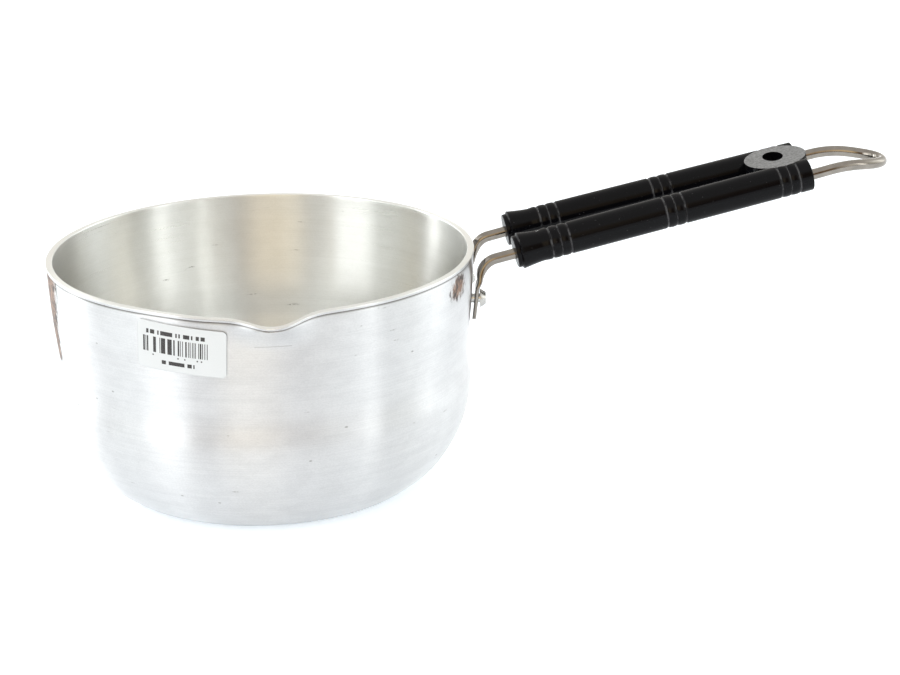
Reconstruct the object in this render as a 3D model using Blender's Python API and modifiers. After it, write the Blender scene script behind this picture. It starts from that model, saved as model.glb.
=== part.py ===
"""Candle melting pot: a spun aluminium pan with a pouring lip and a twin-rod handle.

Metres, +Z up. The origin is the centre of the flat base. The handle runs along +X
and the pouring lip faces -Y. The pieces are the pan, the bent steel rod, the moulded
handle grip that is threaded on the rod, two rivets and a size label.
"""
import math

import bmesh
import bpy
from mathutils import Matrix, Vector

MM = 0.001
GAP = 0.3 * MM                      # clearance kept between touching pieces

# Pan: outer outline from the base to the underside of the lip, as (radius, height)
OUTLINE = [(65.0, 0.0), (68.9, 2.1), (77.9, 10.2), (86.4, 25.3), (89.7, 41.5),
           (88.7, 56.0), (90.5, 76.0), (91.4, 90.0), (91.7, 100.1)]
OUTLINE_STEPS = 2                   # smooth steps between two outline points
RIM_HEIGHT = 101.4 * MM
RIM_RADIUS = 92.0 * MM
LIP_WIDTH = 2.95 * MM
LIP_HEIGHT = 1.3 * MM
LIP_ROUND = 0.35 * MM
LIP_NECK = 0.8 * MM                 # the bore of the lip reaches this far below it
WALL = 2.0 * MM
FLOOR_EDGE = 3.0 * MM               # flat floor ends this far inside the wall's foot
PAN_SEGMENTS = 80

# Pouring lip: the rim is drawn outward and down around one bearing
SPOUT_BEARING = math.radians(-91.6)
SPOUT_SPREAD = math.radians(7.4)
SPOUT_FLATNESS = 2.2
SPOUT_REACH = 6.0 * MM
SPOUT_DROP = 3.2 * MM
SPOUT_DEPTH = 15.0 * MM
SAG_BEARING = math.radians(-106.0)  # shallow sag of the rim beside the spout
SAG_SPREAD = math.radians(13.0)
SAG_DROP = 1.2 * MM

# Handle axis: the two grips lie side by side in a plane that rises outward
HANDLE_SLOPE = math.radians(11.8)
AXIS_START = Vector((100.0 * MM, 0.0, 96.0 * MM))
ROD_SPACING = 29.8 * MM
BORE_DROP = 0.6 * MM                # the rod runs a little below the middle of the grips
FAR_OUT = (2.1 * MM, 1.2 * MM)      # the far side stands further out: at its leg, at its grip
FAR_UP = (1.3 * MM, -0.2 * MM)      # and higher: at the pan end of the grip, at its far end
GRIP_OFFSET = 8.9 * MM              # from AXIS_START to the pan end of the grips
GRIP_LENGTH = 134.1 * MM

# Grips: a barrel with a flared pan end and three groups of two rings, three grooves
BARREL_RADIUS = 7.05 * MM
NECK_RADIUS = 6.85 * MM
FLARE_RADIUS = 8.0 * MM
FLARE_LENGTH = 12.0 * MM
COLLAR_RADIUS = 7.0 * MM
COLLAR_LENGTH = 2.2 * MM
EDGE_ROUND = 0.5 * MM
GROUP_CENTRES = [19.9 * MM, 71.8 * MM, 123.9 * MM]
GROOVE_PITCH = 4.0 * MM
RING_MID_RADIUS = 6.92 * MM
RING_SWING = 0.3 * MM
GRIP_SEGMENTS = 28

# Hanging eye between the far ends of the grips
EYE_CENTRE = 123.9 * MM             # from the pan end of the grips
EYE_SIZE = (13.5 * MM, 15.6 * MM)   # half length along and across the handle
EYE_HOLE = (4.3 * MM, 7.0 * MM)
EYE_HOLE_SHIFT = (-0.6 * MM, 1.5 * MM)          # from the middle of the eye, along and across
EYE_TOP = 6.85 * MM                 # the ground face, above the plane of the axes
EYE_BOTTOM = -2.2 * MM
EYE_SEGMENTS = 48

# Rod: one steel wire, bent into a hairpin, with its ends flattened into tabs
ROD_RADIUS = 2.4 * MM
ROD_SIDES = 16
LEG_X = 93.2 * MM                   # the upright part of each leg, beside the rim
LEG_BEND = 9.0 * MM
TAB_THICKNESS = 1.8 * MM
TAB_HALF_WIDTH = 5.2 * MM
TAB_BOTTOM = 68.6 * MM
TAB_TOP = 82.5 * MM
TAB_STANDOFF = 1.2 * MM
TAB_LEAN = math.radians(6.5)        # the tabs lean with the flare of the wall
TAB_SQUARENESS = 4.0
TAB_FOOT = [0.0, 0.4 * MM, 1.4 * MM, 3.0 * MM, 5.2 * MM]     # rings of the rounded foot
ROUND_FROM = 95.0 * MM              # the rod is fully round above this height
FREE_FROM = 91.0 * MM               # the far leg stands fully out above this height
LOOP_START = 242.0 * MM
LOOP_LENGTH = 35.0 * MM
LOOP_SQUARENESS = 2.2
LOOP_STEPS = 26
LEVEL_START = 249.0 * MM            # the rod bends level between these two places
LEVEL_END = 265.0 * MM
LEVEL_SLOPE = -0.10

# Rivets: a conical head outside, a shank through tab and wall, a low head inside
RIVET_HEIGHT = 78.2 * MM
RIVET_HEAD = (4.0 * MM, 2.8 * MM, 2.7 * MM)     # base radius, top radius, height
RIVET_SHANK = 2.0 * MM
RIVET_TAIL = (3.8 * MM, 1.3 * MM)               # radius, height
RIVET_SEGMENTS = 16
DRILL_REACH = 8.0 * MM

# Label: a rounded rectangle stuck just under the rim, beside the spout
LABEL_BEARING = math.radians(-115.8)
LABEL_HEIGHT = 86.6 * MM
LABEL_SIZE = (38.2 * MM, 20.6 * MM)
LABEL_TILT = math.radians(-4.0)
LABEL_CORNER = 2.2 * MM
LABEL_THICKNESS = 0.3 * MM
LABEL_GRID = (16, 6)

COLOURS = {                         # base colour, metallic, roughness
    "aluminium": ((0.86, 0.86, 0.85), 1.0, 0.25),
    "steel": ((0.62, 0.59, 0.55), 1.0, 0.3),
    "bakelite": ((0.012, 0.012, 0.013), 0.0, 0.3),
    "paper": ((0.85, 0.87, 0.89), 0.0, 0.5),
}


# ---------------------------------------------------------------- helpers

def clear_scene():
    """Start from an empty file."""
    for obj in list(bpy.data.objects):
        bpy.data.objects.remove(obj)


def new_collection(name):
    """A collection linked to the scene."""
    collection = bpy.data.collections.new(name)
    bpy.context.scene.collection.children.link(collection)
    return collection


def material(name):
    """A plain Principled material in the piece's own colour."""
    colour, metallic, roughness = COLOURS[name]
    mat = bpy.data.materials.new(name)
    mat.use_nodes = True
    shader = mat.node_tree.nodes["Principled BSDF"]
    shader.inputs["Base Color"].default_value = (*colour, 1.0)
    shader.inputs["Metallic"].default_value = metallic
    shader.inputs["Roughness"].default_value = roughness
    mat.diffuse_color = (*colour, 1.0)
    return mat


def add_object(name, mesh, collection, look=None):
    """Put a mesh in a collection, smooth except at its sharp edges."""
    obj = bpy.data.objects.new(name, mesh)
    collection.objects.link(obj)
    if look:
        mesh.materials.clear()
        mesh.materials.append(material(look))
        mesh.shade_smooth()
        mesh.set_sharp_from_angle(angle=math.radians(35))
    return obj


def as_cutter(obj):
    """Show a helper shape as wire, and leave it out of renders."""
    obj.hide_render = True
    obj.display_type = "WIRE"
    return obj


def evaluated_mesh(obj):
    """The mesh of an object with its modifiers applied."""
    depsgraph = bpy.context.evaluated_depsgraph_get()
    return bpy.data.meshes.new_from_object(obj.evaluated_get(depsgraph))


def turned_mesh(name, profile, segments, collection):
    """Turn a profile of (radius, height) about Z with a Screw modifier."""
    mesh = bpy.data.meshes.new(name)
    points = [(radius, 0.0, height) for radius, height in profile]
    mesh.from_pydata(points, [(i, i + 1) for i in range(len(points) - 1)], [])
    obj = bpy.data.objects.new(name, mesh)
    collection.objects.link(obj)
    screw = obj.modifiers.new("turn", "SCREW")
    screw.steps = segments
    screw.render_steps = segments
    screw.use_merge_vertices = True
    screw.merge_threshold = 0.00001
    turned = evaluated_mesh(obj)
    bpy.data.objects.remove(obj)
    turned.name = name
    return turned


def cylinder_mesh(name, radius_x, radius_y, bottom, top, segments):
    """A round or oval cylinder along Z."""
    bm = bmesh.new()
    bmesh.ops.create_cone(bm, cap_ends=True, segments=segments, radius1=1.0, radius2=1.0,
                          depth=1.0)
    bmesh.ops.transform(bm, verts=bm.verts, matrix=Matrix.Translation((0, 0, (top + bottom) / 2))
                        @ Matrix.Diagonal((radius_x, radius_y, top - bottom, 1.0)))
    mesh = bpy.data.meshes.new(name)
    bm.to_mesh(mesh)
    bm.free()
    return mesh


def combine(obj, tool, operation):
    """Add a Boolean modifier that cuts, or joins on, another object."""
    boolean = obj.modifiers.new(tool.name, "BOOLEAN")
    boolean.operation = operation
    boolean.solver = "EXACT"
    boolean.object = tool


def smooth_chain(points, steps):
    """A Catmull-Rom curve through points, with the same number of steps in each span."""
    ends = [2 * points[0] - points[1]] + points + [2 * points[-1] - points[-2]]
    chain = []
    for a, b, c, d in zip(ends, ends[1:], ends[2:], ends[3:]):
        for step in range(steps):
            t = step / steps
            chain.append(0.5 * (2 * b + (c - a) * t + (2 * a - 5 * b + 4 * c - d) * t * t
                                + (3 * b - 3 * c + d - a) * t ** 3))
    return chain + [points[-1]]


def smoothstep(value):
    """0 below 0, 1 above 1, and a smooth rise between them."""
    value = min(max(value, 0.0), 1.0)
    return value * value * (3.0 - 2.0 * value)


# ---------------------------------------------------------------- pan

def outline_points():
    """The outer wall from the base up to the lip."""
    return smooth_chain([Vector(point) * MM for point in OUTLINE], OUTLINE_STEPS)


def wall_radius(height):
    """Radius of the outer wall at a height."""
    points = outline_points()
    for low, high in zip(points, points[1:]):
        if low.y <= height <= high.y:
            return low.x + (high.x - low.x) * (height - low.y) / (high.y - low.y)
    return points[-1].x


def inner_wall_points():
    """The outer wall moved inward by the wall thickness, from the floor up to the lip."""
    points = outline_points()
    inner = []
    for before, here, after in zip(points, points[1:], points[2:]):
        along = (after - before).normalized()
        moved = here + WALL * Vector((-along.y, along.x))
        if moved.y > WALL:
            inner.append(moved)
    return inner


def pan_profile():
    """From the middle of the floor, up inside, over the lip and down to the base."""
    inside = [(point.x, point.y) for point in inner_wall_points()]
    bore = RIM_RADIUS - LIP_WIDTH
    under_lip = RIM_HEIGHT - LIP_HEIGHT
    lip = [(bore, under_lip - LIP_NECK), (bore, RIM_HEIGHT - LIP_ROUND),
           (bore + LIP_ROUND, RIM_HEIGHT), (RIM_RADIUS - LIP_ROUND, RIM_HEIGHT),
           (RIM_RADIUS, RIM_HEIGHT - LIP_ROUND), (RIM_RADIUS, under_lip)]
    outside = [(point.x, point.y) for point in reversed(outline_points())]
    floor_edge = (inside[0][0] - FLOOR_EDGE, WALL)
    return [(0.0, WALL), floor_edge] + inside + lip + outside + [(0.0, 0.0)]


def draw_spout(point):
    """Where a point of the plain turned pan goes when the spout is drawn in the rim."""
    bearing = math.atan2(point.y, point.x)
    depth = smoothstep((point.z - (RIM_HEIGHT - SPOUT_DEPTH)) / SPOUT_DEPTH)
    spout = math.exp(-abs((bearing - SPOUT_BEARING) / SPOUT_SPREAD) ** SPOUT_FLATNESS)
    sag = math.exp(-((bearing - SAG_BEARING) / SAG_SPREAD) ** 2)
    outward = Vector((math.cos(bearing), math.sin(bearing), 0.0))
    drop = SPOUT_DROP * spout + SAG_DROP * sag
    return point + depth * (SPOUT_REACH * spout * outward - Vector((0, 0, drop * depth)))


def rivet_matrix(side):
    """Local Z outward through the wall, at the rivet on one side of the handle."""
    bearing = side * math.asin(ROD_SPACING / 2 / wall_radius(RIVET_HEIGHT))
    place = Matrix.Rotation(bearing, 4, "Z") @ Matrix.Translation((0, 0, RIVET_HEIGHT))
    return place @ Matrix.Rotation(math.radians(90), 4, "Y")


def make_pan(parts, cutters):
    """The pan: turned, with the spout drawn in its rim and two rivet holes."""
    mesh = turned_mesh("pot_body", pan_profile(), PAN_SEGMENTS, parts)
    for vertex in mesh.vertices:
        vertex.co = draw_spout(vertex.co)
    pan = add_object("pot_body", mesh, parts, "aluminium")
    for cutter in cutters:
        combine(pan, cutter, "DIFFERENCE")


def make_rivet_drills(cutters):
    """One drill for each rivet, through the wall and the tab of the rod."""
    radius = wall_radius(RIVET_HEIGHT)
    drills = []
    for side, name in ((-1, "drill_near"), (1, "drill_far")):
        mesh = cylinder_mesh(name, RIVET_SHANK + GAP, RIVET_SHANK + GAP, radius - DRILL_REACH,
                             radius + DRILL_REACH, RIVET_SEGMENTS)
        drill = as_cutter(add_object(name, mesh, cutters))
        drill.matrix_world = rivet_matrix(side)
        drills.append(drill)
    return drills


# ---------------------------------------------------------------- rod

def axis_point(distance):
    """A point midway between the two rods, at a distance along the handle."""
    rise = Vector((math.cos(HANDLE_SLOPE), 0.0, math.sin(HANDLE_SLOPE)))
    return AXIS_START + distance * rise


def far_shift(x):
    """How far the far side of the handle stands off from a mirror image of the near side."""
    grip_start = axis_point(GRIP_OFFSET).x
    grip_end = axis_point(GRIP_OFFSET + GRIP_LENGTH).x
    beside_leg = min(max((x - LEG_X) / (grip_start - LEG_X), 0.0), 1.0)
    beside_grip = min(max((x - grip_start) / (grip_end - grip_start), 0.0), 1.0)
    return Vector((FAR_OUT[0] + (FAR_OUT[1] - FAR_OUT[0]) * beside_leg, 0.0,
                   FAR_UP[0] + (FAR_UP[1] - FAR_UP[0]) * beside_grip))


def rod_height(x):
    """Height of the rod's centre line outside the bend at the pan."""
    straight = AXIS_START.z + (min(x, LEVEL_START) - AXIS_START.x) * math.tan(HANDLE_SLOPE)
    straight -= BORE_DROP
    bend = min(max(x - LEVEL_START, 0.0), LEVEL_END - LEVEL_START)
    curve = (math.tan(HANDLE_SLOPE) - LEVEL_SLOPE) / (LEVEL_END - LEVEL_START)
    beyond = max(x - LEVEL_END, 0.0)
    return straight + math.tan(HANDLE_SLOPE) * bend - curve * bend * bend / 2 + LEVEL_SLOPE * beyond


def leg_route():
    """Centre line of one leg in X and Z, from the foot of its tab to where the loop starts."""
    tab_x = (wall_radius(RIVET_HEIGHT) + TAB_STANDOFF + TAB_THICKNESS / 2)
    tab_x *= math.cos(math.asin(ROD_SPACING / 2 / wall_radius(RIVET_HEIGHT)))
    centre_x = LEG_X + LEG_BEND
    end_x = centre_x - LEG_BEND * math.sin(HANDLE_SLOPE)
    centre_z = rod_height(end_x) - LEG_BEND * math.cos(HANDLE_SLOPE)
    foot = [Vector((tab_x + (height - RIVET_HEIGHT) * math.tan(TAB_LEAN), 0, height))
            for height in (TAB_BOTTOM + rise for rise in TAB_FOOT)]
    top_x = tab_x + (TAB_TOP - RIVET_HEIGHT) * math.tan(TAB_LEAN)
    upright = [Vector((top_x + (LEG_X - top_x) * smoothstep(step), 0,
                       TAB_TOP + (centre_z - TAB_TOP) * step)) for step in (0, 0.25, 0.5, 0.75)]
    turn = math.pi / 2 - HANDLE_SLOPE
    bend = [Vector((centre_x - LEG_BEND * math.cos(angle), 0, centre_z + LEG_BEND * math.sin(angle)))
            for angle in (turn * step / 8 for step in range(9))]
    grips = [axis_point(distance) - Vector((0, 0, BORE_DROP))
             for distance in (GRIP_OFFSET, GRIP_OFFSET + GRIP_LENGTH)]
    return foot + upright + bend + grips


def flatness(height):
    """0 where the rod is round, 1 where it is flattened into a tab."""
    return smoothstep((ROUND_FROM - height) / (ROUND_FROM - TAB_TOP))


def rod_section(place, across, along):
    """One ring of the rod: a circle, or the squared oval of the tab."""
    flat = flatness(place.z) if place.x < AXIS_START.x else 0.0
    foot = (place.z - TAB_BOTTOM) / TAB_HALF_WIDTH - 1.0
    narrowing = math.sqrt(max(1.0 - min(foot, 0.0) ** 2, 0.05))
    half_width = (ROD_RADIUS + (TAB_HALF_WIDTH - ROD_RADIUS) * flat) * narrowing
    half_depth = ROD_RADIUS + (TAB_THICKNESS / 2 - ROD_RADIUS) * flat
    power = 2.0 / (2.0 + (TAB_SQUARENESS - 2.0) * flat)
    depth_way = along.cross(across).normalized()
    ring = []
    for i in range(ROD_SIDES):
        angle = 2 * math.pi * (i + 0.5) / ROD_SIDES
        wide = math.copysign(abs(math.cos(angle)) ** power, math.cos(angle))
        deep = math.copysign(abs(math.sin(angle)) ** power, math.sin(angle))
        ring.append(place + across * half_width * wide + depth_way * half_depth * deep)
    return ring


def stand_out(place):
    """A point of the even rod, moved as the far side stands out and up. The tabs stay put."""
    far_side = place.y / ROD_SPACING + 0.5
    free = smoothstep((place.z - TAB_TOP) / (FREE_FROM - TAB_TOP))
    return place + far_side * free * far_shift(place.x)


def rod_route():
    """Centre line and sideways direction of the whole rod, from tab to tab."""
    leg = leg_route()
    half = ROD_SPACING / 2
    tab_bearing = math.asin(half / wall_radius(RIVET_HEIGHT))
    places = []
    sides = []
    for point in leg:
        swing = tab_bearing * (flatness(point.z) if point.x < AXIS_START.x else 0.0)
        places.append(point + Vector((0, -half, 0)))
        sides.append(Vector((math.sin(swing), math.cos(swing), 0)))
    power = 2.0 / LOOP_SQUARENESS
    for step in range(LOOP_STEPS // 2 + 1):
        angle = math.pi / 2 * step / (LOOP_STEPS // 2)
        x = LOOP_START + LOOP_LENGTH * math.sin(angle) ** power
        places.append(Vector((x, -half * max(math.cos(angle), 0.0) ** power, rod_height(x))))
        sides.append(Vector((-math.sin(angle), math.cos(angle), 0)))
    for place, side in list(zip(places, sides))[-2::-1]:
        places.append(Vector((place.x, -place.y, place.z)))
        sides.append(Vector((side.x, -side.y, 0)))
    return [stand_out(place) for place in places], sides


def make_rod(parts, cutters):
    """The hairpin rod, lofted along its route, with a rivet hole in each tab."""
    places, sides = rod_route()
    bm = bmesh.new()
    rings = []
    for i, (place, side) in enumerate(zip(places, sides)):
        along = (places[min(i + 1, len(places) - 1)] - places[max(i - 1, 0)]).normalized()
        across = (side - side.dot(along) * along).normalized()
        rings.append([bm.verts.new(co) for co in rod_section(place, across, along)])
    for ring, after in zip(rings, rings[1:]):
        for i in range(ROD_SIDES):
            j = (i + 1) % ROD_SIDES
            bm.faces.new((ring[i], ring[j], after[j], after[i]))
    bm.faces.new(rings[0])
    bm.faces.new(rings[-1])
    bmesh.ops.recalc_face_normals(bm, faces=bm.faces)
    mesh = bpy.data.meshes.new("handle_wire")
    bm.to_mesh(mesh)
    bm.free()
    rod = add_object("handle_wire", mesh, parts, "steel")
    for cutter in cutters:
        combine(rod, cutter, "DIFFERENCE")


# ---------------------------------------------------------------- handle grip

def grip_radius(distance):
    """Radius of a grip at a distance from its pan end."""
    barrel = BARREL_RADIUS
    if distance < FLARE_LENGTH:
        flare = (FLARE_LENGTH - distance) / (FLARE_LENGTH - COLLAR_LENGTH)
        return NECK_RADIUS + (FLARE_RADIUS - NECK_RADIUS) * flare ** 1.4
    for centre in GROUP_CENTRES:
        away = abs(distance - centre)
        if away < GROOVE_PITCH:
            return RING_MID_RADIUS - RING_SWING * math.cos(2 * math.pi * away / GROOVE_PITCH)
        if away < 1.5 * GROOVE_PITCH:
            rise = (away - GROOVE_PITCH) / (0.5 * GROOVE_PITCH)
            bottom = RING_MID_RADIUS - RING_SWING
            return bottom + (barrel - bottom) * smoothstep(rise)
    return barrel


def grip_profile():
    """Outline of one grip as (radius, distance), from its far end down to its pan end."""
    stations = [COLLAR_LENGTH, 5.0 * MM, 8.5 * MM, FLARE_LENGTH]
    for centre in GROUP_CENTRES:
        stations += [centre + step * GROOVE_PITCH / 4 for step in range(-6, 7)
                     if step != 5 and step != -5]
    outline = [(grip_radius(station), station) for station in stations]
    pan_end = [(0.0, 0.0), (COLLAR_RADIUS - EDGE_ROUND, 0.0), (COLLAR_RADIUS, EDGE_ROUND),
               (COLLAR_RADIUS, COLLAR_LENGTH)]
    far_end = [(BARREL_RADIUS, GRIP_LENGTH - EDGE_ROUND),
               (BARREL_RADIUS - EDGE_ROUND, GRIP_LENGTH), (0.0, GRIP_LENGTH)]
    return list(reversed(pan_end + outline + far_end))


def handle_matrix(side):
    """Local Z along the handle and X down across it: -1 on the near grip, 1 far, 0 between."""
    start = axis_point(GRIP_OFFSET)
    end = axis_point(GRIP_OFFSET + GRIP_LENGTH)
    if side > 0:
        start += far_shift(start.x)
        end += far_shift(end.x)
    slope = math.atan2(end.z - start.z, end.x - start.x)
    start.y = side * ROD_SPACING / 2
    return Matrix.Translation(start) @ Matrix.Rotation(math.pi / 2 - slope, 4, "Y")


def make_grip(parts, cutters):
    """Both grips and the hanging eye, moulded as one piece and ground flat on top."""
    near = add_object("handle_grip", turned_mesh("grip", grip_profile(), GRIP_SEGMENTS, parts),
                      parts, "bakelite")
    near.matrix_world = handle_matrix(-1)
    far = as_cutter(add_object("far_barrel", near.data.copy(), cutters))
    far.matrix_world = handle_matrix(1)
    upright = handle_matrix(0) @ Matrix.Translation((0, 0, EYE_CENTRE))
    upright = upright @ Matrix.Rotation(-math.pi / 2, 4, "Y")
    shapes = [(far, "UNION")]
    plate = cylinder_mesh("eye_plate", *EYE_SIZE, EYE_BOTTOM, EYE_TOP + 2 * MM, EYE_SEGMENTS)
    hole = cylinder_mesh("eye_hole", *EYE_HOLE, EYE_BOTTOM - MM, EYE_TOP + 3 * MM, EYE_SEGMENTS)
    grind = cylinder_mesh("eye_grind", EYE_SIZE[0] + 2 * MM, EYE_SIZE[1] + 4 * MM, EYE_TOP,
                          EYE_TOP + 4 * MM, EYE_SEGMENTS)
    for mesh, operation in ((plate, "UNION"), (hole, "DIFFERENCE"), (grind, "DIFFERENCE")):
        tool = as_cutter(add_object(mesh.name, mesh, cutters))
        tool.matrix_world = upright
        if mesh is hole:
            tool.matrix_world = upright @ Matrix.Translation((*EYE_HOLE_SHIFT, 0.0))
        shapes.append((tool, operation))
    half_facet = Matrix.Rotation(math.pi / ROD_SIDES, 4, "Z")
    drop = Matrix.Translation((0, 0, -BORE_DROP))
    for side, name in ((-1, "bore_near"), (1, "bore_far")):
        bore = cylinder_mesh(name, ROD_RADIUS + GAP, ROD_RADIUS + GAP, -5 * MM,
                             GRIP_LENGTH + 5 * MM, ROD_SIDES)
        tool = as_cutter(add_object(name, bore, cutters))
        tool.matrix_world = drop @ handle_matrix(side) @ half_facet
        shapes.append((tool, "DIFFERENCE"))
    for tool, operation in shapes:
        combine(near, tool, operation)


# ---------------------------------------------------------------- rivets and label

def make_rivets(parts):
    """A rivet on each side, from a low head inside to a conical head outside."""
    wall = wall_radius(RIVET_HEIGHT)
    inner = wall - WALL - 2 * GAP
    outer = wall + TAB_STANDOFF + TAB_THICKNESS + 2 * GAP
    base, top, height = RIVET_HEAD
    tail, tail_height = RIVET_TAIL
    edge = 0.4 * MM
    profile = [(0.0, outer + height), (top - edge, outer + height), (top, outer + height - edge),
               (base, outer + edge), (base, outer), (RIVET_SHANK, outer), (RIVET_SHANK, inner),
               (tail, inner), (tail * 0.95, inner - tail_height * 0.5),
               (tail * 0.6, inner - tail_height * 0.9), (0.0, inner - tail_height)]
    for side, name in ((-1, "rivet_near"), (1, "rivet_far")):
        mesh = turned_mesh(name, profile, RIVET_SEGMENTS, parts)
        rivet = add_object(name, mesh, parts, "aluminium")
        rivet.matrix_world = rivet_matrix(side)


def label_point(u, v, lift):
    """A point of the label: u and v from its centre along the wall, lifted off the wall."""
    along = u * math.cos(LABEL_TILT) - v * math.sin(LABEL_TILT)
    height = LABEL_HEIGHT + u * math.sin(LABEL_TILT) + v * math.cos(LABEL_TILT)
    radius = wall_radius(height)
    bearing = LABEL_BEARING + along / radius
    radius += lift
    plain = Vector((radius * math.cos(bearing), radius * math.sin(bearing), height))
    return draw_spout(plain)


def make_label(parts):
    """The label: a thin rounded sheet that follows the curve of the wall."""
    bm = bmesh.new()
    bmesh.ops.create_grid(bm, x_segments=LABEL_GRID[0], y_segments=LABEL_GRID[1], size=1.0)
    half_width = LABEL_SIZE[0] / 2
    half_height = LABEL_SIZE[1] / 2
    for vertex in bm.verts:
        u = vertex.co.x * half_width
        v = vertex.co.y * half_height
        corner = Vector((math.copysign(half_width - LABEL_CORNER, u),
                         math.copysign(half_height - LABEL_CORNER, v)))
        past = Vector((u, v)) - corner
        if abs(u) > abs(corner.x) and abs(v) > abs(corner.y) and past.length > LABEL_CORNER:
            u, v = corner + past.normalized() * LABEL_CORNER
        vertex.co = label_point(u, v, GAP)
    mesh = bpy.data.meshes.new("size_label")
    bm.to_mesh(mesh)
    bm.free()
    label = add_object("size_label", mesh, parts, "paper")
    solidify = label.modifiers.new("thickness", "SOLIDIFY")
    solidify.thickness = LABEL_THICKNESS
    solidify.offset = 1.0


def main():
    """Build every piece."""
    clear_scene()
    parts = new_collection("candle_melting_pot")
    cutters = new_collection("cutters")
    drills = make_rivet_drills(cutters)
    make_pan(parts, drills)
    make_rod(parts, drills)
    make_grip(parts, cutters)
    make_rivets(parts)
    make_label(parts)


main()
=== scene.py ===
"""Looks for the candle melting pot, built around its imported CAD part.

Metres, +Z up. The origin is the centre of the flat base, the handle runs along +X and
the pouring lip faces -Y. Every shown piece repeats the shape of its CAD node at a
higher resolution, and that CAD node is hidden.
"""
import math

import bmesh
import bpy
from mathutils import Matrix, Vector

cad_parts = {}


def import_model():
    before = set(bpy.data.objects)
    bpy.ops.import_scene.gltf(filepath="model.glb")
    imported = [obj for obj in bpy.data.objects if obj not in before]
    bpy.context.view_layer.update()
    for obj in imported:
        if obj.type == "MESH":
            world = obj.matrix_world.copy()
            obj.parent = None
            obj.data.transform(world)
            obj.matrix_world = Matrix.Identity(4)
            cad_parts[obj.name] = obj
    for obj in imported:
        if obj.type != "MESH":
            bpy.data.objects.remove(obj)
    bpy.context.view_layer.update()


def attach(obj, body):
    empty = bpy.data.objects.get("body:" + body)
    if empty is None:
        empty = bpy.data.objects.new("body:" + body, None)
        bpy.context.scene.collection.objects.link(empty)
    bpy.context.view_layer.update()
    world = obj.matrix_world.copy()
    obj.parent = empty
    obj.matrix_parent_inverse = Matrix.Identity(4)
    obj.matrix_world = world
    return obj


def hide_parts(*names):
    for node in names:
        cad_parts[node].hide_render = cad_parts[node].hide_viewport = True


MM = 0.001
GAP = 0.3 * MM                      # clearance kept between touching pieces

# Pan: outer outline from the base to the underside of the lip, as (radius, height)
OUTLINE = [(65.0, 0.0), (68.9, 2.1), (77.9, 10.2), (86.4, 25.3), (89.7, 41.5),
           (88.7, 56.0), (90.5, 76.0), (91.4, 90.0), (91.7, 100.1)]
OUTLINE_STEPS = 10
RIM_HEIGHT = 101.4 * MM
RIM_RADIUS = 92.0 * MM
LIP_WIDTH = 2.95 * MM
LIP_HEIGHT = 1.3 * MM
LIP_ROUND = 0.35 * MM
LIP_NECK = 0.8 * MM
CREASE = (0.32 * MM, 0.75 * MM)     # depth and height of the groove under the lip
WALL = 2.0 * MM
FLOOR_EDGE = 3.0 * MM
FLOOR_RINGS = 12
PAN_SEGMENTS = 320

# Pouring lip
SPOUT_BEARING = math.radians(-91.6)
SPOUT_SPREAD = math.radians(7.4)
SPOUT_FLATNESS = 2.2
SPOUT_REACH = 5.8 * MM
SPOUT_DROP = 3.2 * MM
SPOUT_DEPTH = 15.0 * MM
SAG_BEARING = math.radians(-106.0)
SAG_SPREAD = math.radians(13.0)
SAG_DROP = 1.2 * MM

# Painted shade of a fine fold in the wall below the spout, as spans along X and Z
FOLD_SHADE_SPAN = (-11.0 * MM, 4.0 * MM)
FOLD_SHADE_HEIGHT = (88.9 * MM, 89.3 * MM)
FRONT = (-0.2, -0.05)               # span along Y that holds only the front of the wall

# Painted reflections under the lip: a blot as bearing, half width (degrees), height and half
# height, and a streak as bearing, half widths at foot and top (degrees) and the height of its foot
TAB_REFLECTION = (-31.0, 7.0, 94.0 * MM, 7.5 * MM)
STREAK_BEARING = 190.0
STREAK_WIDTH = (3.0, 9.5)
STREAK_FOOT = 63.0 * MM

# Handle axis
HANDLE_SLOPE = math.radians(11.8)
AXIS_START = Vector((100.0 * MM, 0.0, 96.0 * MM))
ROD_SPACING = 29.8 * MM
BORE_DROP = 0.6 * MM
FAR_OUT = (2.1 * MM, 1.2 * MM)
FAR_UP = (1.3 * MM, -0.2 * MM)
GRIP_OFFSET = 8.9 * MM
GRIP_LENGTH = 134.1 * MM

# Grips
BARREL_RADIUS = 7.05 * MM
NECK_RADIUS = 6.85 * MM
FLARE_RADIUS = 8.0 * MM
FLARE_LENGTH = 12.0 * MM
FLARE_CURVE = 1.4
FLARE_STEPS = 14
COLLAR_RADIUS = 7.0 * MM
COLLAR_LENGTH = 2.2 * MM
EDGE_ROUND = 0.5 * MM
GROUP_CENTRES = [19.9 * MM, 71.8 * MM, 123.9 * MM]
GROOVE_PITCH = 4.0 * MM
GROOVE_STEPS = 12
GROOVE_BOTTOM = 6.62 * MM
GROOVE_BANK = GROOVE_PITCH / 4      # length over which an outer groove rises to the barrel
GROUP_HALF = 1.5 * GROOVE_PITCH
RING_TOP = 7.1 * MM
RING_BULGE = 0.42                   # below 1, a ring is fuller than a sine wave
GLINT_DEPTH = 0.12 * MM              # how far up a groove's sides the painted highlight lies
BORE_MARGIN = 1.5 * MM              # keeps the bore's own surface free of the painted highlight
GRIP_SEGMENTS = 84
GRIP_SHARP = 32.0

# Hanging eye
EYE_CENTRE = 123.9 * MM
EYE_SIZE = (13.5 * MM, 15.6 * MM)
EYE_HOLE = (4.3 * MM, 7.0 * MM)
EYE_HOLE_SHIFT = (-0.6 * MM, 1.5 * MM)
EYE_TOP = 6.85 * MM
EYE_BOTTOM = -2.2 * MM
GRIND_MARGIN = 0.3 * MM
GRIND_DEPTH = 4.0 * MM
EYE_SEGMENTS = 128

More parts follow.
